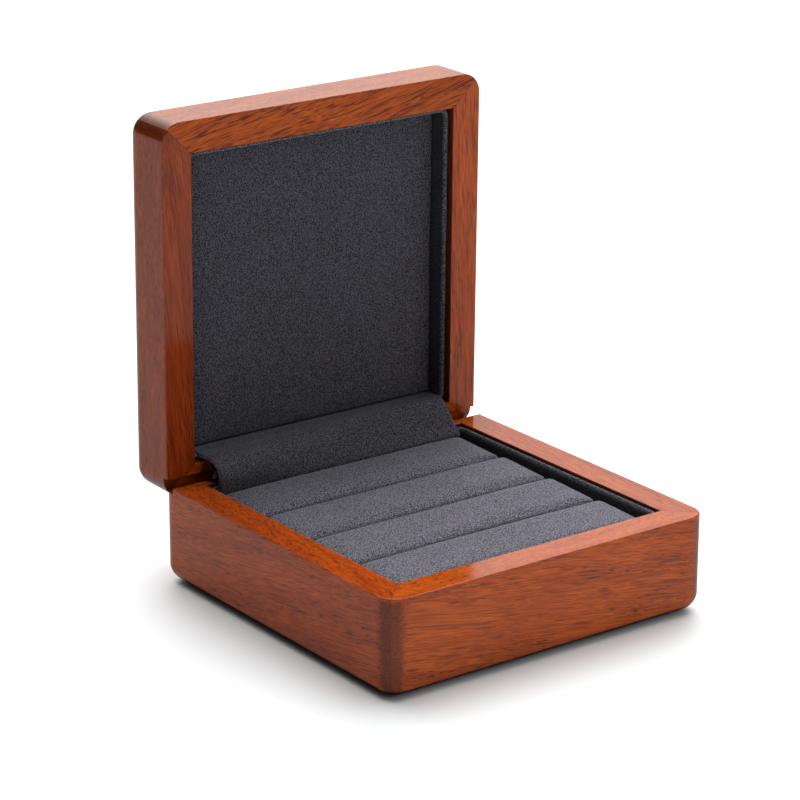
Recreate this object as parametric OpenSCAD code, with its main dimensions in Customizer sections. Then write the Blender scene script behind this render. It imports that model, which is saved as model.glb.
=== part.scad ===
// Ring display box: a square box of mitred hardwood rails with a lid on a concealed
// spring hinge, lined in cloth, with four padded rolls that hold rings between them.
// X runs along the hinge, Y points to the back, Z up. The origin is under the middle
// of the base, on the surface that the box stands on. The lid is drawn open.

/* [Box] */
// Width of the box along the hinge
box_w = 105; // [90:1:130]
// Depth of the box from front to back
box_d = 105; // [95:1:130]
// Height of the base's wooden frame
base_h = 27.35; // [24:0.05:45]
// Height of the lid's wooden frame
lid_h = 17.75; // [15.5:0.05:30]
// Thickness of the rails
rail_t = 9.2; // [8.8:0.1:11]
// Radius of the four upright corners
corner_r = 5.8; // [5.2:0.1:7.5]
// Rounding of the base's lower outside edge
foot_r = 4.9; // [2:0.1:5]
// Rounding of the lid's upper outside edge
crown_r = 4.8; // [2:0.1:5]
// Softened edge of the rims
arris_r = 0.4; // [0.2:0.05:0.6]
// Gap between the closed rims, left by the lacquer
rim_gap = 0.1; // [0.05:0.05:0.3]

/* [Back edge] */
// Width of the rebate along the back of both rims
rebate_w = 6.2; // [5.9:0.1:7]
// Depth of that rebate in each rim
rebate_h = 1.75; // [1.5:0.05:2.2]
// Rounding of the back edges beside the rebate
back_r = 4; // [3.9:0.1:4.6]

/* [Boards] */
// Width of the rebates that hold the bottom board and the top panel
seat_w = 3; // [1.5:0.1:3.4]
// Thickness of the bottom board
board_t = 3; // [2:0.5:5]
// Thickness of the lid's top panel
panel_t = 5; // [3:0.5:6]
// Thickness of the felt under the base
felt_t = 1.1; // [0.8:0.1:1.6]
// Distance of the felt's edge from the rails
felt_inset = 0.4; // [0.2:0.1:1]
// How far the felt stands proud of the rails
felt_proud = 0.5; // [0.3:0.1:0.7]
// Gap left for glue between flat pieces
glue_gap = 0.05; // [0.03:0.01:0.1]

/* [Lining] */
// Thickness of the lining strips
lining_t = 1.45; // [1:0.05:2]
// Thickness of the back strips, which the flap's ends lie over
back_lining_t = 0.8; // [0.6:0.05:1]
// Depth of the base lining's edge below the rim
base_lining_drop = 1.05; // [0.5:0.05:2]
// Depth of the lid lining's edge below the rim
lid_lining_drop = 1.85; // [1:0.05:2.5]
// Depth of the lid pad's face below the rim
pad_drop = 6.5; // [5:0.1:8]
// Height of the pad's crown
pad_crown = 0.5; // [0:0.1:1]
// Gap between the pad and the side linings
pad_gap = 0.15; // [0.05:0.05:0.5]
// Squareness of the pad's edges in section
pad_square = 6; // [4:1:12]
// Squareness of the pad's ends
pad_end_square = 20; // [8:1:30]
// Thickness of the card behind the lid pad
pad_board_t = 1.6; // [1:0.1:3]
// Thickness of the card under the rolls
tray_t = 1.5; // [1:0.1:3]

/* [Rolls] */
// Depth of the rolls' tops below the base's rim
roll_drop = 2.3; // [1.6:0.1:4]
// Width of the slot between two rolls
roll_slot = 0.35; // [0.3:0.05:1]
// How far a roll's top leans down towards the front
roll_lean = 0.8; // [0:0.1:1.2]
// Gap between the rolls' ends and the lining
roll_end_gap = 0.4; // [0.3:0.1:1]
// Height of a roll's crown
roll_crown = 0.3; // [0:0.1:0.6]
// Squareness of the rolls' shoulders
roll_square = 4.5; // [3:0.5:8]
// Squareness of the rolls' ends
roll_end_square = 14; // [8:1:24]

/* [Hinge] */
// Distance of the hinge axis from the back face
axis_in = 4; // [3.8:0.05:4.2]
// Distance of the hinge axis below the middle of the closed rims
axis_drop = 0.6; // [0.4:0.05:0.7]
// Angle to which the lid opens
open_angle = 89.4; // [80:0.1:90]
// Radius of the hinge pin
pin_r = 0.55; // [0.4:0.05:0.6]
// Radial clearance of the pin in the knuckles
pin_clear = 0.05; // [0.03:0.01:0.1]
// Radius of the knuckles
knuckle_r = 1.5; // [1.3:0.05:1.6]
// Length of the hinge
hinge_len = 74; // [66:1:76]
// Length of the outer knuckles
knuckle_len = 9; // [6:0.5:10]
// Length of the middle knuckle
mid_knuckle_len = 18; // [12:1:20]
// Gap at each knuckle's end
knuckle_gap = 0.2; // [0.1:0.05:0.4]
// Thickness of the hinge leaves
leaf_t = 0.6; // [0.5:0.05:0.8]
// Height of the base leaf's flange on the rail's inside face
base_flange_h = 12; // [8:0.5:14]
// Height of the lid leaf's flange
lid_flange_h = 8; // [6.5:0.5:9]
// Radius of the cutter that routes the hinge mortise
mortise_r = 3.8; // [3.6:0.1:4]
// Depth of the mortise below each rim
mortise_deep = 2.45; // [2.4:0.05:2.8]
// Width of the wire of the hinge springs
spring_wire = 0.5; // [0.4:0.05:0.55]
// Turns of each spring
spring_turns = 8; // [4:1:8]
// Length of the springs' legs
spring_leg = 4.2; // [2:0.1:4.5]
// Lean of the springs' upper legs towards the lid's leaf, in degrees
spring_leg_lean = 16; // [5:1:18]

/* [Screws] */
// Number of screws in each leaf
screw_count = 3; // [2:1:4]
// Spacing of the screws
screw_pitch = 28; // [15:1:32]
// Radius of the screw's shank
screw_r = 0.9; // [0.7:0.05:1]
// Length of the screws
screw_len = 6; // [4:0.5:7]
// Radius of the screw's head
screw_head_r = 1.7; // [1.5:0.1:2]
// Clearance of the screws in their holes
screw_gap = 0.02; // [0.01:0.01:0.04]

/* [Flap] */
// Thickness of the cloth-covered flap
flap_t = 0.8; // [0.6:0.05:1]
// Gap between the flap's ends and the side linings
flap_end_gap = 0.6; // [0.3:0.1:1.5]
// How far the flap bulges forward at its left end
flap_bulge = 3; // [1:0.25:4]
// Depth below the rim at which the flap meets the last roll
flap_low = 2.9; // [2.5:0.1:4]
// Length of the flap's end that is tucked behind the roll
flap_tail = 4; // [2:0.5:8]
// Height above the hinge axis at which the flap's right end turns down
flap_turn = 2.2; // [1:0.1:3.5]
// Length of the flap's other end, tucked behind the lid pad's edge
flap_tuck = 1.2; // [0.8:0.1:2]

/* [Hidden] */

$fn = 64;

roll_count = 4;
// How far a cut runs past the face that it leaves
past = 1;
// How far two parts of one solid reach into each other
lap = 0.1;

// Inside of the frames
open_w = box_w - 2 * rail_t;
open_d = box_d - 2 * rail_t;
back_y = box_d / 2;
inner_back_y = open_d / 2;

// Heights with the lid closed
rail_z = felt_proud;
rim_z = rail_z + base_h;
lid_rim_z = rim_z + rim_gap;
lid_top_z = lid_rim_z + lid_h;
panel_z = lid_top_z - panel_t;
board_z = felt_t;
board_top_z = board_z + board_t;
seat_h = board_top_z - rail_z;
// How far a rail's round end reaches into its straight part
corner_lap = 1;
tray_top_z = board_top_z + glue_gap + tray_t;

// Hinge axis
axis_y = back_y - axis_in;
axis_z = rim_z + rim_gap / 2 - axis_drop;

// Lining faces, pad and rolls
side_x = open_w / 2 - glue_gap - lining_t;
front_y = -open_d / 2 + glue_gap + lining_t;
flap_back_y = inner_back_y - glue_gap - back_lining_t - glue_gap;
flap_front_y = flap_back_y - flap_t;
roll_front_y = front_y + glue_gap;
roll_back_y = flap_front_y - 0.4;
roll_pitch = (roll_back_y - roll_front_y + roll_slot) / roll_count;
roll_w = roll_pitch - roll_slot;
roll_len = 2 * (side_x - roll_end_gap);
roll_bottom_z = tray_top_z + glue_gap;
roll_h = rim_z - roll_drop - roll_bottom_z;
pad_back_y = flap_front_y - 0.3;
pad_board_z = panel_z - glue_gap - pad_board_t;
pad_h = pad_board_z - glue_gap - lid_rim_z - pad_drop;
// Share of its width that a padded block loses where its cloth is tucked at the ends
end_tuck = 0.6;

// Hinge
bore_r = pin_r + pin_clear;
mortise_y = axis_y - 2.1;
mortise_x = hinge_len / 2 + 0.8;
base_plate_z = rim_z - mortise_deep + glue_gap;
lid_plate_z = lid_rim_z + mortise_deep - glue_gap - leaf_t;
flange_y = inner_back_y;
tab_y = axis_y - knuckle_r - 0.5;
web_y = axis_y - knuckle_r + leaf_t / 2;
web_z = axis_z + knuckle_r / 2;
spring_r = pin_r + spring_wire / 2 + 0.15;
spring_z = axis_z - spring_r;
spring_from = mid_knuckle_len / 2 + knuckle_gap;
spring_bay = hinge_len / 2 - 2 * knuckle_len - mid_knuckle_len / 2 - 3 * knuckle_gap;
spring_pitch = (spring_bay - 2 * spring_wire) / (spring_turns + 0.2);
screw_z = base_plate_z - base_flange_h * 0.55;
lid_screw_z = lid_plate_z + lid_flange_h * 0.6;

wood = [0.45, 0.2, 0.1];
wood_side = [0.36, 0.17, 0.1];
cloth = [0.2, 0.2, 0.22];
roll_cloth = [0.36, 0.36, 0.4];
card = [0.75, 0.72, 0.66];
steel = [0.72, 0.73, 0.75];
spring_steel = [0.5, 0.5, 0.52];
felt_cloth = [0.08, 0.08, 0.09];

// Quarter that a rounding of radius r takes off a corner at the origin
module corner_off(r) {
    difference() {
        translate([-past, -past]) square(r + past);
        translate([r, r]) circle(r);
    }
}

// Section of a rail: x from the outside face inwards, y up from its rounded edge
module rail_section(h, round_r, let_in) {
    difference() {
        square([rail_t, h]);
        corner_off(round_r);
        translate([0, h]) mirror([0, 1]) corner_off(arris_r);
        translate([rail_t, h]) rotate(180) corner_off(arris_r);
        translate([rail_t - seat_w, -past]) square([seat_w + past, let_in + past]);
    }
}

// Outline of a rail seen from above, mitred, without its round ends
module rail_plan(len) {
    polygon([
        [-len / 2 + corner_r, 0], [len / 2 - corner_r, 0],
        [len / 2 - corner_r, corner_r], [len / 2 - rail_t, rail_t],
        [-len / 2 + rail_t, rail_t], [-len / 2 + corner_r, corner_r]]);
}

// Section of a rail's round end: x out from the middle of the corner
module corner_section(h, round_r) {
    intersection() {
        translate([corner_r, 0]) mirror([1, 0]) rail_section(h, round_r, 0);
        square([corner_r, h]);
    }
}

// A rail along X with its outside face at y = 0 and its rounded edge down
module rail(len, h, round_r, let_in) {
    intersection() {
        translate([-len / 2, 0, 0]) rotate([90, 0, 90]) linear_extrude(len)
            rail_section(h, round_r, let_in);
        translate([0, 0, -past]) linear_extrude(h + 2 * past) rail_plan(len);
    }
    for (side = [0, 1]) mirror([side, 0, 0])
        translate([len / 2 - corner_r, corner_r, 0]) rotate([0, 0, -90]) {
            rotate_extrude(angle = 45) corner_section(h, round_r);
            rotate([90, 0, 0]) linear_extrude(corner_lap) corner_section(h, round_r);
        }
}

// Puts a rail on its side of the box: 0 front, 1 right, 2 back, 3 left
module on_side(side) {
    rotate([0, 0, 90 * side]) translate([0, side % 2 == 0 ? -box_d / 2 : -box_w / 2, 0])
        children();
}

function side_len(side) = side % 2 == 0 ? box_w : box_d;

// What the rebate and the rounding take off the back edge of a rim
module back_edge_off(edge_z, up) {
    translate([-box_w / 2 - past, back_y, edge_z]) rotate([90, 0, 90])
        linear_extrude(box_w + 2 * past) {
            if (up) mirror([0, 1]) back_edge_section();
            else back_edge_section();
        }
}

module back_edge_section() {
    translate([-rebate_w, -rebate_h]) square([rebate_w + past, rebate_h + past]);
    translate([-back_r, -rebate_h - back_r]) difference() {
        square(back_r + past);
        circle(back_r);
    }
}

// Slot routed along the back rail for the hinge, with round ends
module mortise(low_z, high_z) {
    translate([0, mortise_y, low_z]) linear_extrude(high_z - low_z) {
        square([2 * mortise_x, 2 * mortise_r], center = true);
        for (side = [-1, 1]) translate([side * mortise_x, 0]) circle(mortise_r);
    }
}

// Shallow pocket for a leaf's flange in the rail's inside face
module flange_pocket(low_z, high_z) {
    translate([-hinge_len / 2 - glue_gap, inner_back_y - past, low_z])
        cube([hinge_len + 2 * glue_gap, past + leaf_t + glue_gap, high_z - low_z]);
}

module at_screws(z) {
    for (i = [0 : screw_count - 1])
        translate([(i - (screw_count - 1) / 2) * screw_pitch, flange_y, z])
            rotate([-90, 0, 0]) children();
}

// Screw with its head at the origin and its point along +Z, grown by a gap
module screw_shape(gap) {
    point_h = 2 * screw_r;
    cylinder(h = leaf_t + gap, r1 = screw_head_r + gap, r2 = screw_r + gap);
    cylinder(h = screw_len - point_h + gap, r = screw_r + gap);
    translate([0, 0, screw_len - point_h + gap])
        cylinder(h = point_h, r1 = screw_r + gap, r2 = screw_r / 4);
}

module base_rail(side) {
    color(side % 2 == 0 ? wood : wood_side) difference() {
        translate([0, 0, rail_z]) on_side(side)
            rail(side_len(side), base_h, foot_r, seat_h);
        if (side != 0) back_edge_off(rim_z, false);
        if (side == 2) {
            mortise(rim_z - mortise_deep, rim_z + past);
            flange_pocket(base_plate_z + leaf_t - base_flange_h - glue_gap, rim_z);
            at_screws(screw_z) screw_shape(screw_gap);
        }
    }
}

module lid_rail(side) {
    color(side % 2 == 0 ? wood : wood_side) lid_pose() difference() {
        translate([0, 0, lid_top_z]) mirror([0, 0, 1]) on_side(side)
            rail(side_len(side), lid_h, crown_r, panel_t);
        if (side != 0) back_edge_off(lid_rim_z, true);
        if (side == 2) {
            mortise(lid_rim_z - past, lid_rim_z + mortise_deep);
            flange_pocket(lid_rim_z, lid_plate_z + lid_flange_h + glue_gap);
            at_screws(lid_screw_z) screw_shape(screw_gap);
        }
    }
}

// Swings what is drawn in its closed place up to the open lid
module lid_pose() {
    translate([0, axis_y, axis_z]) rotate([-open_angle, 0, 0])
        translate([0, -axis_y, -axis_z]) children();
}

// Board that fills the rebates of a frame
module seated_board(t) {
    out = seat_w - glue_gap;
    translate([-open_w / 2 - out, -open_d / 2 - out, 0])
        cube([open_w + 2 * out, open_d + 2 * out, t]);
}

module base_bottom_board() {
    color(card) translate([0, 0, board_z]) seated_board(board_t - glue_gap);
}

module underside_felt() {
    out = seat_w - felt_inset;
    color(felt_cloth) translate([-open_w / 2 - out, -open_d / 2 - out, 0])
        cube([open_w + 2 * out, open_d + 2 * out, felt_t - glue_gap]);
}

module lid_top_panel() {
    color(wood) lid_pose() translate([0, 0, panel_z]) seated_board(panel_t);
}

// Lining strip standing on z = 0 with a rounded top edge, its length along X
module strip(len, h, t) {
    translate([-len / 2, 0, 0]) rotate([90, 0, 90]) linear_extrude(len) {
        square([t, h - t / 2]);
        translate([t / 2, h - t / 2]) circle(t / 2);
    }
}

// The four strips of a lining, each with its outside face near the rail
module lining_strip(side, h) {
    t = side == 2 ? back_lining_t : lining_t;
    across = side % 2 == 0 ? open_d : open_w;
    side_shift = (lining_t - back_lining_t) / 2;
    len = side % 2 == 0 ? open_w - 2 * glue_gap
        : open_d - 4 * glue_gap - lining_t - back_lining_t;
    along = side == 1 ? side_shift : side == 3 ? -side_shift : 0;
    rotate([0, 0, 90 * side]) translate([along, -across / 2 + glue_gap, 0]) strip(len, h, t);
}

module base_lining(side) {
    low_z = board_top_z + glue_gap;
    color(cloth) translate([0, 0, low_z]) lining_strip(side, rim_z - base_lining_drop - low_z);
}

module lid_lining(side) {
    high_z = panel_z - glue_gap;
    color(cloth) lid_pose() translate([0, 0, high_z]) mirror([0, 0, 1])
        lining_strip(side, high_z - lid_rim_z - lid_lining_drop);
}

// Card cut to fit between the linings
module lined_card(t) {
    translate([-side_x + glue_gap, front_y + glue_gap, 0])
        cube([2 * (side_x - glue_gap), flap_back_y - front_y - 2 * glue_gap, t]);
}

module ring_tray_board() {
    color(card) translate([0, 0, board_top_z + glue_gap]) lined_card(tray_t);
}

function power(v, p) = sign(v) * pow(abs(v), p);

// Padded block on z = 0: its section is a rounded rectangle with a crown, drawn in at
// its ends. The higher side_n and end_n are, the squarer its shoulders and ends; lean
// lowers the front of its top, and draw pulls its sides in between its corners.
module soft_block(size, side_n, end_n, crown, lean, draw, mesh) {
    len = size[0];
    wid = size[1];
    high = size[2];
    rings = mesh[0];
    sides = mesh[1];
    turn = [for (i = [0 : rings]) 6 + 168 * i / rings];
    points = [for (t = turn)
        let (x = -len / 2 * power(cos(t), 2 / end_n), full = pow(sin(t), 2 / end_n),
             u = 2 * x / len)
        for (j = [0 : sides - 1])
            let (a = 360 * (j + 0.5) / sides, v = power(cos(a), 2 / side_n),
                 w = power(sin(a), 2 / side_n),
                 half_w = wid / 2 * (1 - end_tuck * (1 - full)) - draw * (1 - u * u),
                 top = (high - crown) / 2 * full + crown * full * (1 - u * u) * (1 - v * v),
                 mid = (high - crown) / 2)
                [x, half_w * v,
                 w < 0 ? mid * (1 + w) : mid + w * (top - lean * (1 - v) / 2)]];
    walls = [for (i = [0 : rings - 1]) for (j = [0 : sides - 1])
        let (a = i * sides + j, b = i * sides + (j + 1) % sides, c = a + sides, d = b + sides)
            each [[a, b, d], [a, d, c]]];
    caps = [for (j = [1 : sides - 2])
        each [[0, j + 1, j], [rings * sides, rings * sides + j, rings * sides + j + 1]]];
    polyhedron(points, [for (f = concat(walls, caps)) [f[0], f[2], f[1]]]);
}

module ring_roll(i) {
    color(roll_cloth)
        translate([0, roll_front_y + roll_w / 2 + (i - 1) * roll_pitch, roll_bottom_z])
            soft_block([roll_len, roll_w, roll_h], roll_square, roll_end_square,
                roll_crown, roll_lean, roll_crown / 6, [16, 24]);
}

module lid_pad_board() {
    color(card) lid_pose() translate([0, 0, pad_board_z]) lined_card(pad_board_t);
}

module lid_pad() {
    pad_d = pad_back_y - front_y - glue_gap;
    color(cloth) lid_pose()
        translate([0, front_y + glue_gap + pad_d / 2, pad_board_z - glue_gap])
            mirror([0, 0, 1])
                soft_block([2 * (side_x - pad_gap), pad_d, pad_h + pad_crown], pad_square,
                    pad_end_square, pad_crown, 0, pad_crown / 2, [16, 32]);
}

// A knuckle of the hinge from x = from to x = to
module knuckle(from, to) {
    translate([from, axis_y, axis_z]) rotate([0, 90, 0]) cylinder(h = to - from, r = knuckle_r);
}

module pin_bore() {
    translate([-hinge_len / 2 - past, axis_y, axis_z]) rotate([0, 90, 0])
        cylinder(h = hinge_len + 2 * past, r = bore_r);
}

// Part of the base leaf's plate that reaches from its edge to a knuckle
module base_tab(from, len) {
    translate([from, tab_y - lap, base_plate_z]) cube([len, axis_y - tab_y + lap, leaf_t]);
}

module base_knuckles() {
    for (side = [0, 1]) mirror([side, 0, 0]) {
        end_from = hinge_len / 2 - knuckle_len;
        knuckle(end_from, hinge_len / 2);
        base_tab(end_from, knuckle_len);
    }
    knuckle(-mid_knuckle_len / 2, mid_knuckle_len / 2);
    base_tab(-mid_knuckle_len / 2, mid_knuckle_len);
}

module hinge_base_leaf() {
    color(steel) difference() {
        union() {
            translate([-hinge_len / 2, flange_y, base_plate_z])
                cube([hinge_len, tab_y - flange_y, leaf_t]);
            translate([-hinge_len / 2, flange_y, base_plate_z + leaf_t - base_flange_h])
                cube([hinge_len, leaf_t, base_flange_h]);
            base_knuckles();
        }
        pin_bore();
        at_screws(screw_z) screw_shape(screw_gap);
    }
}

module lid_knuckles() {
    to = hinge_len / 2 - knuckle_len - knuckle_gap;
    for (side = [0, 1]) mirror([side, 0, 0]) {
        knuckle(to - knuckle_len, to);
        translate([to - knuckle_len, web_y, web_z])
            cube([knuckle_len, leaf_t, lid_plate_z + lap - web_z]);
    }
}

module hinge_lid_leaf() {
    color(steel) lid_pose() difference() {
        union() {
            translate([-hinge_len / 2, flange_y, lid_plate_z])
                cube([hinge_len, web_y + leaf_t - flange_y, leaf_t]);
            translate([-hinge_len / 2, flange_y, lid_plate_z])
                cube([hinge_len, leaf_t, lid_flange_h]);
            lid_knuckles();
        }
        pin_bore();
        at_screws(lid_screw_z) screw_shape(screw_gap);
    }
}

module hinge_pin() {
    head_h = 0.4;
    head_r = pin_r + 0.3;
    color(steel) translate([-hinge_len / 2 - knuckle_gap, axis_y, axis_z]) rotate([0, 90, 0]) {
        cylinder(h = hinge_len + 2 * knuckle_gap, r = pin_r);
        translate([0, 0, -head_h]) cylinder(h = head_h, r = head_r);
        translate([0, 0, hinge_len + 2 * knuckle_gap]) cylinder(h = head_h, r = head_r);
    }
}

// Screws of one leaf, with their heads flush in its flange
module leaf_screws(z) {
    color(steel) at_screws(z) screw_shape(0);
}

function unit(v) = v / norm(v);

// Round wire along a list of points, one unbroken tube with flat ends
module wire(path, r, sides) {
    last = len(path) - 1;
    points = [for (i = [0 : last])
        let (t = unit(path[min(i + 1, last)] - path[max(i - 1, 0)]),
             b = unit([1, 0, 0] - t[0] * t), n = cross(b, t))
        for (j = [0 : sides - 1])
            let (a = 360 * j / sides) path[i] + r * (cos(a) * b + sin(a) * n)];
    walls = [for (i = [0 : last - 1]) for (j = [0 : sides - 1])
        let (a = i * sides + j, b = i * sides + (j + 1) % sides, c = a + sides, d = b + sides)
            each [[a, b, d], [a, d, c]]];
    caps = [for (j = [1 : sides - 2])
        each [[0, j + 1, j], [last * sides, last * sides + j, last * sides + j + 1]]];
    polyhedron(points, concat(walls, caps));
}

// Torsion spring round the pin: one leg lies on the base leaf, the other on the lid leaf
function spring_path() =
    let (end_a = -spring_leg_lean, sweep = 90 + end_a + 360 * spring_turns,
         steps = 8 * spring_turns + 2, from = spring_from + spring_wire,
         rise = spring_pitch * sweep / 360)
    concat(
        [[from, axis_y - spring_leg, spring_z]],
        [for (i = [0 : steps])
            let (a = -90 + sweep * i / steps)
                [from + rise * i / steps,
                 axis_y + spring_r * cos(a), axis_z + spring_r * sin(a)]],
        [[from + rise, axis_y + spring_r * cos(end_a) - spring_leg * sin(end_a),
          axis_z + spring_r * sin(end_a) + spring_leg * cos(end_a)]]);

module hinge_springs() {
    path = spring_path();
    last = len(path) - 1;
    echo(least_gap_between_turns = min([for (i = [1 : last - 1]) for (j = [i + 5 : 1 : last - 1])
        norm(path[i] - path[j])]) - spring_wire);
    color(spring_steel) for (side = [0, 1]) mirror([side, 0, 0])
        wire(spring_path(), spring_wire / 2, 6);
}

function bezier(p, t) = let (s = 1 - t)
    s * s * s * p[0] + 3 * s * s * t * p[1] + 3 * s * t * t * p[2] + t * t * t * p[3];

// Where a point of the closed lid, in y and z, goes as the lid opens
function opened(y, z) = let (c = cos(open_angle), s = sin(open_angle))
    [axis_y + (y - axis_y) * c + (z - axis_z) * s, axis_z - (y - axis_y) * s + (z - axis_z) * c];

// Line of the flap from the lid to the base, in y and z. It runs out of the lid between
// the pad and the back lining, rolls over and goes down behind the last roll. Its left
// end bulges forward over the roll, and its right end slopes straight down; k is 0 to 1.
function flap_line(k) =
    let (in_lid_y = (pad_back_y + flap_back_y + glue_gap) / 2,
         from = opened(in_lid_y, lid_rim_z + lid_lining_drop + 0.2),
         tuck = opened(in_lid_y, lid_rim_z + pad_drop + flap_tuck),
         mid_y = flap_front_y + flap_t / 2,
         low_z = rim_z - flap_low, full = flap_bulge * (1 - k),
         curve = [from, [axis_y - 0.5 * flap_turn - 2.2 * full, from[1] + 0.3 * full],
                  [mid_y + 0.1 * flap_turn - 1.07 * full, axis_z + flap_turn + 0.95 * full],
                  [mid_y - flap_t, low_z + flap_t / 2]])
    concat([tuck], [for (i = [0 : 14]) bezier(curve, i / 14)],
           [[mid_y - flap_t / 8, low_z - flap_t], [mid_y, low_z - flap_tail]]);

module hinge_flap() {
    stations = 12;
    x_end = side_x - flap_end_gap;
    lines = [for (i = [0 : stations]) flap_line(i / stations)];
    count = len(lines[0]);
    sides = 2 * count;
    points = [for (i = [0 : stations])
        let (line = lines[i], x = -x_end + 2 * x_end * i / stations)
        for (j = [0 : sides - 1])
            let (front = j < count, m = front ? j : sides - 1 - j,
                 t = unit(line[min(m + 1, count - 1)] - line[max(m - 1, 0)]),
                 p = line[m] + (front ? 1 : -1) * flap_t / 2 * [t[1], -t[0]])
                [x, p[0], p[1]]];
    walls = [for (i = [0 : stations - 1]) for (j = [0 : sides - 1])
        let (a = i * sides + j, b = i * sides + (j + 1) % sides, c = a + sides, d = b + sides)
            each [[a, b, d], [a, d, c]]];
    ends = [for (m = [0 : count - 2])
        let (a = m, b = m + 1, c = sides - 2 - m, d = sides - 1 - m, o = stations * sides)
            each [[a, c, b], [a, d, c], [o + a, o + b, o + c], [o + a, o + c, o + d]]];
    color(cloth) polyhedron(points, concat(walls, ends));
}

base_rail(0);  // base_front_rail
base_rail(2);  // base_back_rail
base_rail(3);  // base_left_rail
base_rail(1);  // base_right_rail
base_bottom_board();
underside_felt();
base_lining(0);  // base_front_lining
base_lining(2);  // base_back_lining
base_lining(3);  // base_left_lining
base_lining(1);  // base_right_lining
ring_tray_board();
ring_roll(1);  // ring_roll_1
ring_roll(2);  // ring_roll_2
ring_roll(3);  // ring_roll_3
ring_roll(4);  // ring_roll_4
hinge_flap();
hinge_base_leaf();
hinge_pin();
hinge_springs();
leaf_screws(screw_z);  // hinge_base_screws
lid_rail(0);  // lid_front_rail
lid_rail(2);  // lid_back_rail
lid_rail(3);  // lid_left_rail
lid_rail(1);  // lid_right_rail
lid_top_panel();
lid_lining(0);  // lid_front_lining
lid_lining(2);  // lid_back_lining
lid_lining(3);  // lid_left_lining
lid_lining(1);  // lid_right_lining
lid_pad_board();
lid_pad();
hinge_lid_leaf();
lid_pose() leaf_screws(lid_screw_z);  // hinge_lid_screws
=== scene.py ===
import math

import bmesh
import bpy
import numpy as np
from mathutils import Matrix, Vector


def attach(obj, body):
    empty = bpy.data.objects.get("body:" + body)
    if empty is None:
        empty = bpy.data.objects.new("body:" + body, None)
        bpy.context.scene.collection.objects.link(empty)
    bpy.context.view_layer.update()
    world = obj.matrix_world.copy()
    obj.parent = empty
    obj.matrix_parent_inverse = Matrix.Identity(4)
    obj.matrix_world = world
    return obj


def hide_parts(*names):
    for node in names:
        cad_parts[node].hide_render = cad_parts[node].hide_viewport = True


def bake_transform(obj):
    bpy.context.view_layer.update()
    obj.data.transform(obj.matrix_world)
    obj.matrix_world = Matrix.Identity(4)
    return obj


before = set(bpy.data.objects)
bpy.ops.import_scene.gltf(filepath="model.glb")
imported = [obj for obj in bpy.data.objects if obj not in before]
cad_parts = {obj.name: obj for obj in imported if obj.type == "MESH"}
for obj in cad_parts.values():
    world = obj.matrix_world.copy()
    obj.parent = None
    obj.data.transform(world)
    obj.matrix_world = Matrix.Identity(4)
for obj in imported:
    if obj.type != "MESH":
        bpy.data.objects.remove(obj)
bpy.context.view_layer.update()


# Base rails. Four mitred rails of a reddish hardwood, glued round the bottom board, with
# rounded corners and a rounded lower edge, under a satin lacquer that has sunk a little
# into the open pores. Each rail is sawn from its own stick, so the figure breaks at a mitre.

class Link:
    """A value, colour or vector on its way through the nodes of a finish."""

    def __init__(self, socket):
        self.socket = socket

    def node(self, kind, settings, inputs, out=0):
        """Adds any node: its settings first, then its sockets' values or links."""
        made = self.socket.id_data.nodes.new(kind)
        for name, value in settings.items():
            setattr(made, name, value)
        for name, value in inputs.items():
            if isinstance(value, Link):
                self.socket.id_data.links.new(value.socket, made.inputs[name])
            else:
                made.inputs[name].default_value = value
        return Link(made.outputs[out]) if made.outputs else None

    def join(self, operation, a, b):
        kinds = [x.socket.type for x in (a, b) if isinstance(x, Link)]
        if "VECTOR" in kinds:
            a, b = [(x, x, x) if isinstance(x, float) else x for x in (a, b)]
            return self.node("ShaderNodeVectorMath", {"operation": operation}, {0: a, 1: b})
        if "RGBA" in kinds:
            blend = {"data_type": "RGBA", "blend_type": operation}
            return self.node("ShaderNodeMix", blend, {0: 1.0, 6: a, 7: b}, 2)
        return self.node("ShaderNodeMath", {"operation": operation}, {0: a, 1: b})

    def __add__(self, other):
        return self.join("ADD", self, other)

    def __radd__(self, other):
        return self.join("ADD", other, self)

    def __sub__(self, other):
        return self.join("SUBTRACT", self, other)

    def __rsub__(self, other):
        return self.join("SUBTRACT", other, self)

    def __mul__(self, other):
        return self.join("MULTIPLY", self, other)

    def __truediv__(self, other):
        return self.join("DIVIDE", self, other)

    def __pow__(self, other):
        return self.join("POWER", self, other)

    def __abs__(self):
        return self.node("ShaderNodeMath", {"operation": "ABSOLUTE"}, {0: self})


def parts_of(place):
    split = place.node("ShaderNodeSeparateXYZ", {}, {0: place}).socket.node
    return [Link(socket) for socket in split.outputs]


def place_at(x, y, z):
    return x.node("ShaderNodeCombineXYZ", {}, {0: x, 1: y, 2: z})


def cloudy(place, detail=2.0, rough=0.5):
    """Soft noise from 0 to 1 whose lumps are about one unit of place across."""
    sockets = {"Vector": place, "Scale": 1.0, "Detail": detail, "Roughness": rough}
    return place.node("ShaderNodeTexNoise", {}, sockets)


def rises(value, low, high):
    """0 at low and 1 at high, with a smooth way between; low may be the larger of the two."""
    sockets = {"Value": value, "From Min": low, "From Max": high}
    return value.node("ShaderNodeMapRange", {"interpolation_type": "SMOOTHSTEP"}, sockets)


def tint(share, under, over):
    """The colour under where share is 0, and over where it is 1."""
    sockets = {0: share, 6: under, 7: over}
    return share.node("ShaderNodeMix", {"data_type": "RGBA"}, sockets, 2)


def bumpy(height, strength, distance):
    """The surface's direction, as if it stood out by up to distance, in metres."""
    sockets = {"Strength": strength, "Distance": distance, "Height": height}
    return height.node("ShaderNodeBump", {}, sockets)


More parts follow.
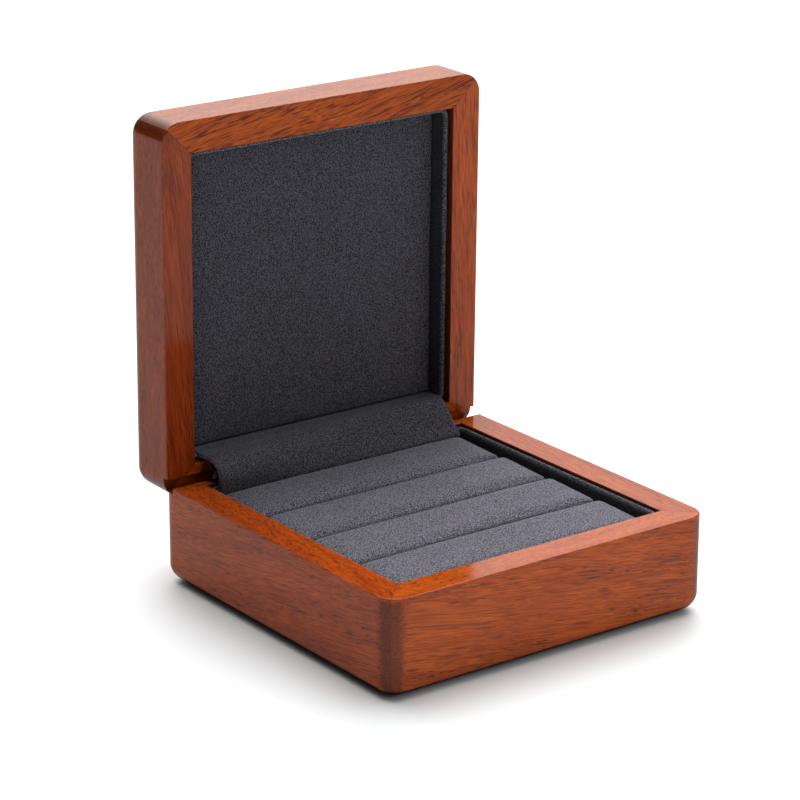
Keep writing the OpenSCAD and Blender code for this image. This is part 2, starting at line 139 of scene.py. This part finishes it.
def new_finish(name):
    """An empty material, and the place on the part in millimetres."""
    material = bpy.data.materials.new(name)
    material.use_nodes = True
    material.node_tree.nodes.clear()
    coordinates = material.node_tree.nodes.new("ShaderNodeTexCoord")
    return material, Link(coordinates.outputs["Object"]) * 1000.0


def lay_finish(material, place, sockets):
    surface = place.node("ShaderNodeBsdfPrincipled", {}, sockets)
    place.node("ShaderNodeOutputMaterial", {}, {"Surface": surface})
    return material


def dress(nodes, material):
    for name in nodes:
        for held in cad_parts[name].material_slots:
            held.material = material


hinge_axis = (0.0, 48.5, 27.3)
lid_opening = math.radians(89.4)


def as_closed(place):
    """The place that a point of the open lid has when the lid is shut."""
    sockets = {"Vector": place, "Center": hinge_axis, "Angle": lid_opening}
    return place.node("ShaderNodeVectorRotate", {"rotation_type": "X_AXIS"}, sockets)


def turned(a, b, degrees):
    """Two directions, turned in their own plane."""
    c, s = math.cos(math.radians(degrees)), math.sin(math.radians(degrees))
    return a * c + b * s, b * c - a * s


white = (1, 1, 1, 1)
rim_height = 27.9
rail_corner = (46.8, 49.4)
rail_inside = (43.6, 43.35)
stick_apart = 173.0


def rail_wood(name, along_x, stick, slant, skew, side=0.55, rim=0.35, in_lid=False,
              side_shade=white, rim_shade=white, side_gloss=0.42, rim_gloss=0.42,
              is_panel=False):
    """Lacquered wood sawn along one way, from one place in the tree for each stick.

    The grain slants on the outside face and skews on the rim, by so many degrees; side and
    rim are how dark its streaks are there. A panel has no mitres and no wall behind linings."""
    material, place = new_finish(name)
    if in_lid:
        place = as_closed(place)
    x, y, z = parts_of(place)
    nearer = x.node("ShaderNodeMath", {"operation": "MINIMUM"}, {0: abs(x), 1: abs(y)})
    further = x.node("ShaderNodeMath", {"operation": "MAXIMUM"}, {0: abs(x), 1: abs(y)})
    from_rim = abs(z - rim_height)
    joined = 0.0 if is_panel else 1.0
    corner_shade = rises(nearer, *rail_corner) * rises(from_rim, 0.2, 1.6)
    underside_shade = rises(z, 2.5, 1.8)
    inside = rises(further, *rail_inside) * joined
    mitre = rises(abs(abs(x) - abs(y)), 0.22, 0.05) * joined
    on_side = rises(from_rim, 0.05, 0.5)

    long, wide = (x, y) if along_x else (y, x)
    long, rise = turned(long, z, slant)
    long, wide = turned(long, wide, skew)
    long = long + stick * stick_apart
    sway = cloudy(place_at(long / 55.0, wide / 16.0, rise / 16.0), 1.0) - 0.5
    rise = rise + sway * 3.0
    wide = wide + sway * 3.0

    def marks(length, width, depth, detail, rough=0.5, shift=0.0):
        """Noise whose lumps are this long, wide and deep in the stick, in millimetres."""
        stretched = place_at(long / length, wide / width, rise / depth)
        return cloudy(stretched + shift if shift else stretched, detail, rough)

    broad = marks(50.0, 6.0, 5.0, 2.0)
    band = marks(80.0, 1.8, 1.6, 1.0, 0.6)
    figure = marks(38.0, 0.48, 0.4, 2.0)
    fibre = marks(20.0, 0.27, 0.25, 1.0, 0.6)
    pore = marks(2.8, 0.3, 0.3, 0.0, shift=17.0)
    streak = rises(figure, 0.48, 0.66)
    dash = rises(pore, 0.63, 0.73) * rises(broad, 0.35, 0.6)
    bold = on_side * (side - rim) + rim

    amber = (0.57, 0.115, 0.009, 1)
    russet = (0.32, 0.048, 0.006, 1)
    plum = (0.11, 0.021, 0.009, 1)
    body = tint(rises(broad, 0.3, 0.7) * 0.4 + rises(band, 0.3, 0.7) * 0.4, amber, russet)
    body = tint(rises(fibre, 0.38, 0.62) * 0.75, body, russet)
    body = tint(streak * bold, body, plum)
    body = tint(dash * 0.7, body, (0.05, 0.012, 0.006, 1))
    # Painted shade: the rounded vertical corners, away from the rim, are painted darker.
    body = tint(corner_shade * 0.65, body, (0.07, 0.02, 0.01, 1))
    body = tint(mitre * 0.5, body, (0.05, 0.014, 0.008, 1))
    # Painted shade: the rails' inner walls behind the linings are painted near black, for the shade
    # inside the box.
    body = tint(inside * 0.8, body, (0.03, 0.009, 0.005, 1))
    # side_shade and rim_shade scale each rail's outer face and rim apart: partly the stick's own
    # tone, partly painted shade and light, darker where less light falls, as on the lid's left
    # side.
    body = body * tint(on_side, rim_shade, side_shade)
    # Painted shade: the rounded foot below about 2 mm is painted near black and loses its coat,
    # standing in for the shadow under the box.
    body = tint(underside_shade * 0.97, body, (0.006, 0.004, 0.004, 1))
    return lay_finish(material, place, {
        "Base Color": body,
        "Roughness": 0.5,
        "Normal": bumpy(fibre * 0.1 - dash * 0.8 - mitre, 0.3, 0.0001),
        "Specular IOR Level": 0.0,
        "Coat Weight": (1.0 - underside_shade) * (on_side * (side_gloss - rim_gloss) + rim_gloss),
        "Coat Roughness": 0.12,
    })


dress(["base_front_rail"], rail_wood(
    "base_front_wood", True, 1, -9, 3, side_shade=(0.97, 0.92, 0.85, 1)))
dress(["base_back_rail"], rail_wood("base_back_wood", True, 2, -3, 2))
dress(["base_left_rail"], rail_wood(
    "base_left_wood", False, 3, -8, 4, 0.5, 0.5, side_shade=(0.78, 0.7, 0.82, 1),
    rim_shade=(0.92, 0.82, 0.8, 1)))
dress(["base_right_rail"], rail_wood(
    "base_right_wood", False, 4, -3, 4, side_shade=(0.88, 0.88, 0.9, 1),
    rim_shade=(0.88, 0.88, 0.9, 1)))


# Bottom board. A thin plywood board that fills the rebate under the rails, glued all round,
# and the felt glued over it, which the box stands on.

def board_finish():
    material, place = new_finish("birch_board")
    x, y, z = parts_of(place)
    veneer = cloudy(place_at(x / 18.0, y / 1.4, z / 0.3), 3.0)
    ply = rises(abs(cloudy(place_at(x / 300.0, y / 300.0, z / 0.9)) - 0.5), 0.02, 0.06)
    body = tint(rises(veneer, 0.3, 0.7), (0.42, 0.27, 0.14, 1), (0.56, 0.4, 0.23, 1))
    body = tint((1.0 - ply) * 0.4, body, (0.2, 0.12, 0.06, 1))
    return lay_finish(material, place, {"Base Color": body, "Roughness": 0.7})


def felt_finish():
    material, place = new_finish("black_felt")
    fibre = cloudy(place / 0.3, 4.0, 0.7)
    tuft = cloudy(place / 2.2, 2.0)
    body = tint(rises(fibre, 0.35, 0.7), (0.008, 0.008, 0.009, 1), (0.035, 0.035, 0.038, 1))
    return lay_finish(material, place, {
        "Base Color": body,
        "Roughness": 0.95,
        "Normal": bumpy(fibre + tuft * 0.5, 0.8, 0.0002),
        "Sheen Weight": 0.3,
    })


dress(["base_bottom_board"], board_finish())
dress(["underside_felt"], felt_finish())


# Linings. Strips of card wrapped in charcoal microfibre and glued inside the rails a
# little below the rim. The back strip is thinner, to leave room for the flap.

def microfibre(name, deep, pale, sheen, slots=None, fold=None, in_lid=False):
    """Napped cloth: short fibres that catch the light in specks, dark between them.

    slots is the first slot's y and their pitch: the cloth is painted dark there as shade in the
    slots. fold is the height of a lining's wall and of its folded edge: the wall is painted darker
    as shade and the edge paler as a painted highlight."""
    material, place = new_finish(name)
    askew = {"Vector": place, "Rotation": (0.7, 0.5, 0.9)}
    threads = place.node("ShaderNodeVectorRotate", {"rotation_type": "EULER_XYZ"}, askew)
    nap = rises(cloudy(threads / 0.34, 1.0, 0.7), 0.4, 0.62)
    brushed = cloudy(place / 12.0, 1.0, 0.6)
    body = tint(nap, deep, pale)
    body = body * tint(rises(brushed, 0.3, 0.7), (0.97, 0.97, 0.97, 1), (1.03, 1.03, 1.03, 1))
    if slots:
        first, pitch = slots
        _, y, _ = parts_of(place)
        share = y.node("ShaderNodeMath", {"operation": "FRACT"}, {0: (y - first) / pitch})
        # Painted shade: the cloth is painted dark on each side of a slot between the rolls.
        shade_behind_slot = rises(share, 1.8 / pitch, 0.2 / pitch)
        shade_before_slot = rises(share, 1 - 0.9 / pitch, 1 - 0.4 / pitch)
        body = tint((shade_behind_slot + shade_before_slot) * 0.75, body, deep)
        # Painted shade: the cloth is painted darker towards the back, where the open lid shades the
        # last roll.
        body = body * tint(rises(y, 12.0, 36.0), white, (0.84, 0.84, 0.84, 1))
    if fold:
        wall, edge = fold
        _, _, z = parts_of(as_closed(place) if in_lid else place)
        # Painted shade and highlight: a lining's wall is painted darker and its folded edge paler.
        body = body * tint(rises(z, wall, edge), (0.3, 0.3, 0.3, 1), (1.4, 1.4, 1.4, 1))
    return lay_finish(material, place, {
        "Base Color": body,
        "Roughness": 0.95,
        "Normal": bumpy(nap, 0.5, 0.0001),
        "Specular IOR Level": 0.15,
        "Sheen Weight": sheen,
        "Sheen Roughness": 0.5,
        "Sheen Tint": (0.86, 0.86, 1.0, 1),
    })


def piece_from(name, points, faces, material):
    """A smooth mesh piece from points in millimetres, with its faces outward."""
    mesh = bpy.data.meshes.new(name)
    mesh.from_pydata((np.asarray(points) * 0.001).tolist(), [], faces)
    shell = bmesh.new()
    shell.from_mesh(mesh)
    bmesh.ops.recalc_face_normals(shell, faces=shell.faces)
    shell.to_mesh(mesh)
    shell.free()
    mesh.shade_smooth()
    mesh.materials.append(material)
    piece = bpy.data.objects.new(name, mesh)
    bpy.context.collection.objects.link(piece)
    return piece


def hinge_turned(points, angle):
    """Points in millimetres, turned about the hinge: a positive angle opens the lid."""
    _, y, z = hinge_axis
    out = np.array(points, float)
    dy = out[..., 1] - y
    dz = out[..., 2] - z
    out[..., 1] = y + dy * math.cos(angle) + dz * math.sin(angle)
    out[..., 2] = z - dy * math.sin(angle) + dz * math.cos(angle)
    return out


lining_half = 43.25
lining_corner = 2.4
lining_cell = 1.1
lining_deep = (0.015, 0.015, 0.017, 1)
lining_pale = (0.13, 0.13, 0.145, 1)
lining_sheen = 0.15


def lining_corner_rows(middle_y, first, last):
    """The line round a right corner, from one bearing to another in degrees."""
    rows = []
    for turn in np.linspace(first, last, 9):
        out_x, out_y = math.cos(math.radians(turn)), math.sin(math.radians(turn))
        x = lining_half - lining_corner + lining_corner * out_x
        rows.append((x, middle_y + lining_corner * out_y, out_x, out_y))
    return rows


def lining_rows(side):
    """Outside line of one lining, with its outward way: the side strips take the corners."""
    reach = lining_half - lining_corner
    if side in ("front", "back"):
        ahead = -1 if side == "front" else 1
        count = round(2 * reach / lining_cell) + 1
        return [(x, ahead * lining_half, 0, ahead) for x in np.linspace(-reach, reach, count)]
    rows = lining_corner_rows(-reach, -90, 0)
    for y in np.arange(-reach + lining_cell, reach - lining_cell / 2, lining_cell):
        rows.append((lining_half, y, 1, 0))
    rows += lining_corner_rows(reach, 0, 90)
    if side == "left":
        rows = [(-x, y, -out_x, out_y) for x, y, out_x, out_y in rows]
    return rows


def lining_section(low, edge, thick):
    """Inward reach and height round a strip: a flat wall with a soft round edge."""
    tall = abs(edge - low)
    toward = (edge - low) / tall
    round_tall = 1.9
    crest = 0.45 * thick
    wall = np.linspace(0, 1, 10)
    section = [(0.0, tall * share) for share in wall]
    section[-1] = (0.02 * thick, tall - 0.7 * thick)
    section.append((0.16 * thick, tall - 0.16 * thick))
    for turn in np.linspace(0, 90, 9):
        way = math.radians(turn)
        section.append((crest + (thick - crest) * math.sin(way),
                        tall - round_tall * (1 - math.cos(way))))
    section += [(thick, (tall - round_tall) * (1 - share)) for share in wall[1:]]
    return [(inward, low + toward * rise) for inward, rise in section]


def lining(body, side, low, edge, material):
    """One wrapped strip, from its hidden edge at height low to its folded edge near the rim."""
    rows = lining_rows(side)
    section = lining_section(low, edge, 0.75 if side == "back" else 1.4)
    points = []
    for x, y, out_x, out_y in rows:
        for inward, z in section:
            points.append((x - out_x * inward, y - out_y * inward, z))
    count = len(section)
    last = (len(rows) - 1) * count
    faces = [tuple(range(count))[::-1], tuple(last + j for j in range(count))]
    for a in range(0, last, count):
        for j in range(count):
            k = (j + 1) % count
            faces.append((a + j, a + k, a + count + k, a + count + j))
    if body == "lid":
        points = hinge_turned(points, lid_opening)
    piece = piece_from("%s_%s_lining_cloth" % (body, side), points, faces, material)
    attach(piece, body)
    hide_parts("%s_%s_lining" % (body, side))


base_lining_cloth = microfibre(
    "base_lining_cloth", lining_deep, lining_pale, lining_sheen, fold=(25.6, 26.9))
for side in ("front", "back", "left", "right"):
    lining("base", side, 4.2, 27.2, base_lining_cloth)


# Cards. Stiff dark grey board: one lies on the base's bottom board and carries the rolls, the
# other is glued to the lid's top panel and carries the pad.

def card_finish():
    material, place = new_finish("dark_card")
    fleck = cloudy(place / 0.5, 3.0, 0.7)
    body = tint(rises(fleck, 0.35, 0.7), (0.025, 0.025, 0.027, 1), (0.05, 0.05, 0.053, 1))
    return lay_finish(material, place, {"Base Color": body, "Roughness": 0.85})


dress(["ring_tray_board", "lid_pad_board"], card_finish())


# Ring rolls. Four foam rolls wrapped in the same microfibre, pressed side by side into the
# base so that rings stand in the slots between them.

def block_grid(low, high, cell):
    """Points and quads of a box's surface, cut into cells of about one size along each axis."""
    counts = [max(2, round((high[i] - low[i]) / cell[i])) for i in range(3)]
    known = {}
    points = []
    faces = []

    def corner(step):
        if step not in known:
            known[step] = len(points)
            points.append([low[i] + (high[i] - low[i]) * step[i] / counts[i] for i in range(3)])
        return known[step]

    for axis in range(3):
        first, second = (axis + 1) % 3, (axis + 2) % 3
        for end in (0, counts[axis]):
            for i in range(counts[first]):
                for j in range(counts[second]):
                    ring = []
                    for di, dj in ((0, 0), (1, 0), (1, 1), (0, 1)):
                        step = [0, 0, 0]
                        step[axis] = end
                        step[first] = i + di
                        step[second] = j + dj
                        ring.append(corner(tuple(step)))
                    faces.append(tuple(ring) if end else tuple(ring[::-1]))
    return np.array(points), faces


def rounded(points, low, high, radius):
    """The points of a box's surface, drawn in round its edges and corners."""
    inner = np.clip(points, np.array(low) + radius, np.array(high) - radius)
    away = points - inner
    return inner + away / np.linalg.norm(away, axis=1)[:, None] * radius


def lumps(points, size, seed):
    """Smooth unevenness of up to about 1 either way, with lumps about size across."""
    chance = np.random.default_rng(seed)
    total = np.zeros(len(points))
    for _ in range(7):
        way = chance.normal(size=3)
        way *= 2 * math.pi / (size * chance.uniform(0.8, 1.6)) / np.linalg.norm(way)
        total += np.sin(points @ way + chance.uniform(0, 2 * math.pi))
    return total / 4.0


cloth_scale = 0.01
cloth_steps = 20


def swell(points, faces, held, cap, pressure):
    """Cloth blown up over its foam from inside, with the held points fixed.

    The cloth is simulated at ten times its size, and no point moves further than cap."""
    mesh = bpy.data.meshes.new("cover")
    mesh.from_pydata((points * cloth_scale).tolist(), [], faces)
    cover = bpy.data.objects.new("cover", mesh)
    bpy.context.collection.objects.link(cover)
    fixed = cover.vertex_groups.new(name="held")
    fixed.add(np.flatnonzero(held).tolist(), 1.0, "REPLACE")
    cloth = cover.modifiers.new("cloth", "CLOTH")
    cloth.settings.use_pressure = True
    cloth.settings.uniform_pressure_force = pressure
    cloth.settings.vertex_group_mass = "held"
    cloth.settings.effector_weights.gravity = 0
    cloth.settings.tension_stiffness = 15
    cloth.settings.bending_stiffness = 0.6
    for step in range(1, cloth_steps + 1):
        bpy.context.scene.frame_set(step)
    made = cover.evaluated_get(bpy.context.evaluated_depsgraph_get())
    moved = np.array([v.co for v in made.data.vertices]) / cloth_scale - points
    far = np.linalg.norm(moved, axis=1)
    moved *= (cap * np.tanh(far / cap) / np.maximum(far, 1e-9))[:, None]
    bpy.data.objects.remove(cover)
    bpy.context.scene.frame_set(1)
    return points + moved


def refined(piece):
    """Cuts each quad in four and rounds them off."""
    smooth = piece.modifiers.new("smooth", "SUBSURF")
    smooth.levels = 1
    smooth.render_levels = 1
    made = piece.evaluated_get(bpy.context.evaluated_depsgraph_get())
    piece.data = bpy.data.meshes.new_from_object(made)
    piece.modifiers.clear()
    piece.data.shade_smooth()


roll_low_y = -41.7
roll_pitch = 20.825
roll_wide = 20.45
roll_bottom = 5.7
roll_top = 26.6
roll_half = 41.35
roll_edge = 2.6
roll_cell = (1.05, 1.05, 1.05)
roll_cloth = microfibre("roll_cloth", (0.028, 0.027, 0.034, 1), (0.22, 0.21, 0.25, 1), 0.2,
                        slots=(roll_low_y, roll_pitch))


def roll_form(number):
    """One roll: its top slopes to the front, its ends are tucked, its sides are drawn in."""
    front = roll_low_y + (number - 1) * roll_pitch
    low = (-roll_half + 0.2, front + 0.15, roll_bottom)
    high = (roll_half - 0.2, front + roll_wide - 0.15, roll_top - 0.25)
    points, faces = block_grid(low, high, roll_cell)
    points = rounded(points, low, high, roll_edge)
    middle = front + roll_wide / 2
    along = points[:, 0] / roll_half
    across = (points[:, 1] - middle) / (roll_wide / 2)
    height = (points[:, 2] - roll_bottom) / (roll_top - roll_bottom)
    slope = 0.8 * (1 - across) / 2
    tuck = 0.6 * np.abs(along) ** 4
    points[:, 2] -= height ** 3 * (slope + tuck)
    points[:, 2] += 0.08 * height ** 4 * lumps(points * (1, 0.6, 0), 24.0, 40 + number)
    points[:, 1] += 0.1 * height * lumps(points * (1, 0, 0.2), 30.0, 60 + number) * (1 - along ** 6)
    held = (points[:, 2] < roll_bottom + 9) | (np.abs(along) > 0.97)
    points = swell(points, faces, held, 0.3, 4.0)
    points[:, 0] = np.clip(points[:, 0], -roll_half, roll_half)
    points[:, 1] = np.clip(points[:, 1], front, front + roll_wide)
    points[:, 2] = np.clip(points[:, 2], roll_bottom, roll_top)
    return points, faces


for number in (1, 2, 3, 4):
    points, faces = roll_form(number)
    roll = piece_from("roll_%d_cover" % number, points, faces, roll_cloth)
    refined(roll)
    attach(roll, "base")
    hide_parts("ring_roll_%d" % number)


# Hinge. Two bent steel leaves with their knuckles, screwed into the back rails, a pin, and
# two torsion springs that hold the lid up. Each spring winds up as the lid turns, one leg on
# the base's leaf and the other on the lid's; here each is drawn once, as the open lid holds it.

def metal_finish(name, colour, rough):
    material, place = new_finish(name)
    x, y, z = parts_of(place)
    brushed = cloudy(place_at(x / 8.0, y / 0.12, z / 0.12), 2.0)
    return lay_finish(material, place, {
        "Base Color": tint(brushed, colour, tuple(0.8 * c for c in colour[:3]) + (1,)),
        "Roughness": rough + brushed * 0.15,
        "Metallic": 1.0,
    })


plate_steel = metal_finish("plated_steel", (0.62, 0.62, 0.63, 1), 0.28)
spring_steel = metal_finish("spring_steel", (0.35, 0.34, 0.34, 1), 0.3)
dress(["hinge_base_leaf", "hinge_lid_leaf", "hinge_pin"], plate_steel)
dress(["hinge_base_screws", "hinge_lid_screws"], plate_steel)

spring_wire = 0.5
spring_radius = 0.95
spring_turns = 8
spring_leg = 4.2
spring_lean = math.radians(16)
spring_start = 9.7
spring_end = 18.106


def spring_line():
    """Centre line of the right spring: the base's leg, the coil round the pin, the lid's leg."""
    _, pin_y, pin_z = hinge_axis
    sweep = math.pi / 2 - spring_lean + 2 * math.pi * spring_turns
    line = [(spring_start, pin_y - spring_leg, pin_z - spring_radius)]
    for share in np.linspace(0, 1, 20 * spring_turns + 1):
        turn = sweep * share - math.pi / 2
        x = spring_start + (spring_end - spring_start) * share
        y = pin_y + spring_radius * math.cos(turn)
        z = pin_z + spring_radius * math.sin(turn)
        line.append((x, y, z))
    y = y + spring_leg * math.sin(spring_lean)
    z = z + spring_leg * math.cos(spring_lean)
    line.append((spring_end, y, z))
    return np.array(line)


def wire_round(line, radius, sides):
    """Points and faces of a round wire along a line that keeps nearly square to the pin."""
    way = np.gradient(line, axis=0)
    way /= np.linalg.norm(way, axis=1)[:, None]
    out = np.cross(way, (1.0, 0.0, 0.0))
    out /= np.linalg.norm(out, axis=1)[:, None]
    aside = np.cross(way, out)
    points = []
    for centre, one, other in zip(line, out, aside):
        for turn in np.arange(sides) * 2 * math.pi / sides:
            points.append(centre + radius * (one * math.cos(turn) + other * math.sin(turn)))
    last = (len(line) - 1) * sides
    faces = [tuple(range(sides)), tuple(range(last, last + sides))]
    for ring in range(0, last, sides):
        for j in range(sides):
            a, b = ring + j, ring + (j + 1) % sides
            faces.append((a, b, b + sides, a + sides))
    return np.array(points), faces


for side, across in (("left", -1), ("right", 1)):
    points, faces = wire_round(spring_line(), spring_wire / 2, 8)
    spring = piece_from("hinge_spring_%s" % side, points * (across, 1, 1), faces, spring_steel)
    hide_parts("hinge_springs")
    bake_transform(spring)


# Lid rails and top panel. Four mitred rails of the same wood, rounded like the base's, and a
# panel with its grain across the box, let in flush with their top and glued all round.

dress(["lid_front_rail"], rail_wood(
    "lid_front_wood", True, 5, 3, -13, 0.4, 0.95, True, (0.8, 0.88, 0.9, 1),
    (0.94, 0.9, 0.8, 1), 0.6, 0.25))
dress(["lid_back_rail"], rail_wood("lid_back_wood", True, 6, 2, 3, 0.6, 0.6, True))
dress(["lid_left_rail"], rail_wood(
    "lid_left_wood", False, 7, 2, 7, 0.5, 0.5, True, (0.54, 0.46, 0.4, 1), (0.6, 0.47, 0.36, 1)))
dress(["lid_right_rail"], rail_wood(
    "lid_right_wood", False, 8, -2, 3, 0.6, 0.65, True, (0.9, 0.82, 0.75, 1),
    (0.94, 0.84, 0.7, 1)))
dress(["lid_top_panel"], rail_wood("lid_panel_wood", True, 9, 0, 0, in_lid=True, is_panel=True))


# Lid linings. The same wrapped strips of card, glued inside the lid's rails with their folded
# edge a little further from the rim.

lid_lining_cloth = microfibre(
    "lid_lining_cloth", lining_deep, lining_pale, lining_sheen, fold=(31.3, 30.1), in_lid=True)
for side in ("front", "back", "left", "right"):
    lining("lid", side, 40.6, 29.85, lid_lining_cloth)


# Lid pad. A thin foam pad on its card, wrapped in microfibre and pressed into the lid, where
# the linings hold it all round.

pad_cloth = microfibre("pad_cloth", (0.011, 0.011, 0.015, 1), (0.1, 0.094, 0.117, 1), 0.15)
pad_low = (-41.7, -41.75, 34.5)
pad_high = (41.7, 41.75, 38.95)
pad_cell = (1.3, 1.3, 0.55)
pad_edge = 0.6
pad_stretch = 0.07
pad_least = (-41.78, -41.78, 34.45)
pad_most = (41.78, 41.66, 39.0)


def pad_form():
    """The pad with the lid shut, its face down: a flat face with soft edges."""
    points, faces = block_grid(pad_low, pad_high, pad_cell)
    share = points[:, :2] / pad_high[:2]
    points[:, :2] = ((1 + pad_stretch) * share - pad_stretch * share ** 15) * pad_high[:2]
    points = rounded(points, pad_low, pad_high, pad_edge)
    across = points[:, 0] / pad_high[0]
    ahead = points[:, 1] / pad_high[1]
    face = np.clip((37.0 - points[:, 2]) / 2.0, 0, 1)
    draw = 0.2 * (1 - np.clip(np.abs(across * ahead), 0, 1) ** 0.5)
    points[:, 0] -= draw * np.abs(across) ** 12 * np.sign(across)
    points[:, 1] += draw * np.clip(-ahead, 0, 1) ** 12
    points[:, 2] += face * (0.25 + 0.1 * lumps(points * (1, 1, 0), 30.0, 5))
    points = swell(points, faces, points[:, 2] > 37.4, 0.35, 3.0)
    points = np.clip(points, pad_least, pad_most)
    return hinge_turned(points, lid_opening), faces


points, faces = pad_form()
pad = piece_from("lid_pad_cover", points, faces, pad_cloth)
refined(pad)
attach(pad, "lid")
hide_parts("lid_pad")


# Flap. A strip of card wrapped in microfibre, glued behind the lid's pad and tucked down
# behind the last roll, so that it rolls over the hinge and hides it at every angle. Here it is
# drawn once, in the shape that the open lid gives it.

flap_cloth = microfibre("flap_cloth", (0.014, 0.014, 0.018, 1), (0.115, 0.108, 0.132, 1), 0.15)
flap_thick = 0.8
flap_half = 41.2
flap_in_lid = 42.08
flap_wall = 42.0
flap_low = 24.95


def flap_line(right):
    """The flap's middle line in y and z; right is 0 at its left end and 1 at its right."""
    bulge = 3.0 * (1 - right) ** 1.4
    tuck = hinge_turned([0, flap_in_lid, 35.65], lid_opening)[1:]
    start = hinge_turned([0, flap_in_lid, 30.0], lid_opening)[1:]
    over_hinge = (49.13 - 2.74 * bulge, start[1] + 0.93 + 0.12 * bulge)
    over_roll = (45.77 - 2.24 * bulge, 29.09 + 1.09 * bulge)
    curve = [start, over_hinge, over_roll, (flap_wall - flap_thick, flap_low + 0.4)]
    line = [tuck, (tuck + start) / 2]
    for t in np.linspace(0, 1, 34):
        s = 1 - t
        weights = (s ** 3, 3 * s * s * t, 3 * s * t * t, t ** 3)
        line.append(sum(w * np.array(c) for w, c in zip(weights, curve)))
    line += [(flap_wall - 0.1, flap_low - flap_thick), (flap_wall, flap_low - 2.4),
             (flap_wall, flap_low - 4.0)]
    return np.array(line)


def flap_form():
    """The strip's two faces and four edges, from station to station along the hinge."""
    stations = 76
    points = []
    for i in range(stations + 1):
        right = i / stations
        x = -flap_half + 2 * flap_half * right
        line = flap_line(right)
        way = np.gradient(line, axis=0)
        way /= np.linalg.norm(way, axis=1)[:, None]
        out = np.stack([way[:, 1], -way[:, 0]], 1) * flap_thick / 2
        for y, z in np.concatenate([line + out, (line - out)[::-1]]):
            points.append((x, y, z))
    count = 2 * len(line)
    last = stations * count
    faces = []
    for a in range(0, last, count):
        for j in range(count):
            k = (j + 1) % count
            faces.append((a + j, a + count + j, a + count + k, a + k))
    for j in range(count // 2 - 1):
        end = (j, j + 1, count - 2 - j, count - 1 - j)
        faces.append(end)
        faces.append(tuple(last + corner for corner in end[::-1]))
    return np.array(points), faces


points, faces = flap_form()
flap = piece_from("hinge_flap_cover", points, faces, flap_cloth)
flap_length = float(np.linalg.norm(np.diff(flap_line(0.5), axis=0), axis=1).sum()) * 0.001
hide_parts("hinge_flap")
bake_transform(flap)


# Studio. A white table in a dim white room, with a large soft lamp overhead, a window low
# behind the box, and a faint light from the front right. The camera looks down at the box's
# front left corner.

def floor_finish():
    material, place = new_finish("white_table")
    dull = cloudy(place / 40.0, 3.0)
    body = tint(dull, (0.84, 0.865, 0.87, 1), (0.875, 0.9, 0.905, 1))
    sockets = {"Base Color": body, "Roughness": 0.6, "Specular IOR Level": 0.2}
    return lay_finish(material, place, sockets)


table_half = 6.0
table_corners = [(-table_half, -table_half, 0), (table_half, -table_half, 0),
                 (table_half, table_half, 0), (-table_half, table_half, 0)]
table_mesh = bpy.data.meshes.new("table")
table_mesh.from_pydata(table_corners, [], [(0, 1, 2, 3)])
table_mesh.materials.append(floor_finish())
table = bpy.data.objects.new("table", table_mesh)
bpy.context.collection.objects.link(table)

world = bpy.data.worlds.new("white_room")
bpy.context.scene.world = world
world.use_nodes = True
world.node_tree.nodes.clear()
outlook = world.node_tree.nodes.new("ShaderNodeTexCoord")
look = Link(outlook.outputs["Generated"])


def glow(way, tightness, strength):
    """A soft patch of light in the room, seen towards way."""
    toward = tuple(Vector(way).normalized())
    dot = look.node("ShaderNodeVectorMath", {"operation": "DOT_PRODUCT"}, {0: look, 1: toward}, 1)
    return rises(dot, 0.0, 1.0) ** tightness * strength


lamp = glow((0.26, 0.4, 0.88), 10.0, 4.7)
window = glow((0.56, 0.76, 0.3), 16.0, 1.5)
front_light = glow((0.45, -0.62, 0.64), 6.0, 0.8)
room = lamp + window + front_light + 0.045
air = look.node("ShaderNodeBackground", {}, {"Color": white, "Strength": room})
look.node("ShaderNodeOutputWorld", {}, {"Surface": air})

camera_place = Vector((-0.48171, -0.63558, 0.32982))
camera_turn = math.radians(-36.548)
camera_fall = math.radians(18.982)
camera_roll = math.radians(0.2105)
behind = Vector((math.sin(camera_turn) * math.cos(camera_fall),
                 -math.cos(camera_turn) * math.cos(camera_fall), math.sin(camera_fall)))
level = Vector((0, 0, 1)).cross(behind).normalized()
upright = behind.cross(level)
right = level * math.cos(camera_roll) + upright * math.sin(camera_roll)
up = upright * math.cos(camera_roll) - level * math.sin(camera_roll)
lens = bpy.data.cameras.new("camera")
lens.sensor_width = 36.0
lens.lens = 143.04
lens.clip_start = 0.05
lens.clip_end = 50.0
camera = bpy.data.objects.new("camera", lens)
camera.matrix_world = Matrix((right, up, behind)).transposed().to_4x4()
camera.location = camera_place
bpy.context.collection.objects.link(camera)
bpy.context.scene.camera = camera
bpy.context.scene.view_settings.view_transform = "Standard"
